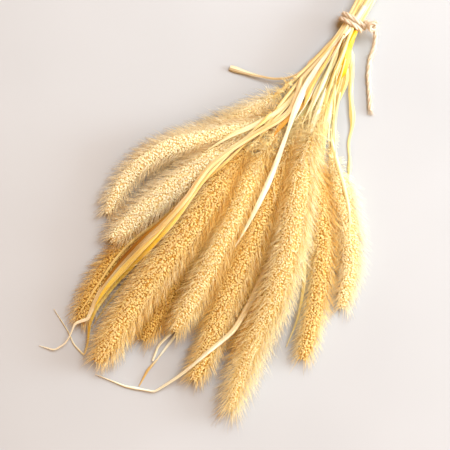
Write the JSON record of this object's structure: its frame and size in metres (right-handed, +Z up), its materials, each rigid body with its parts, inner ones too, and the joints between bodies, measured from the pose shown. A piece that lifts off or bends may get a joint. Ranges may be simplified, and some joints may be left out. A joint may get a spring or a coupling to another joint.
{
  "type": "tied bunch of dried foxtail grass",
  "caption": "Tied bunch of dried bleached foxtail grass lying flat: bristly arching seed heads, fanned straw stems and curled leaf blades held by twine.",
  "frame": {"origin": "middle of the bounding box at the surface that the bunch lies on", "axes": "+Y along the bunch from the heads to the cut ends of the stems, +Z up from the surface, +X across the fan of heads"},
  "size_m": [0.1415, 0.3783, 0.0273],
  "materials": {
    "seed_heads": "dry bristly spikelets, golden tan",
    "straw_stems": "dry straw, satin",
    "dry_leaves": "dry papery blade, satin",
    "jute_twine": "twisted jute, matt and hairy"
  },
  "bodies": {
    "root": {"seed_head_01": "seed_heads", "seed_head_02": "seed_heads", "seed_head_03": "seed_heads", "seed_head_04": "seed_heads", "seed_head_05": "seed_heads", "seed_head_06": "seed_heads", "seed_head_07": "seed_heads", "seed_head_08": "seed_heads", "seed_head_09": "seed_heads", "seed_head_10": "seed_heads", "seed_head_11": "seed_heads", "seed_head_12": "seed_heads", "stem_01": "straw_stems", "stem_02": "straw_stems", "stem_03": "straw_stems", "stem_04": "straw_stems", "stem_05": "straw_stems", "stem_06": "straw_stems", "stem_07": "straw_stems", "stem_08": "straw_stems", "stem_09": "straw_stems", "stem_10": "straw_stems", "stem_11": "straw_stems", "stem_12": "straw_stems", "leaf_01": "dry_leaves", "leaf_02": "dry_leaves", "leaf_03": "dry_leaves", "leaf_04": "dry_leaves", "leaf_05": "dry_leaves", "leaf_06": "dry_leaves", "leaf_07": "dry_leaves", "leaf_08": "dry_leaves", "leaf_09": "dry_leaves", "leaf_10": "dry_leaves", "leaf_11": "dry_leaves", "leaf_12": "dry_leaves", "leaf_13": "dry_leaves", "leaf_14": "dry_leaves", "leaf_15": "dry_leaves", "leaf_16": "dry_leaves", "twine_wrap": "jute_twine", "twine_knot": "jute_twine", "twine_tail": "jute_twine"}
  },
  "joints": []
}
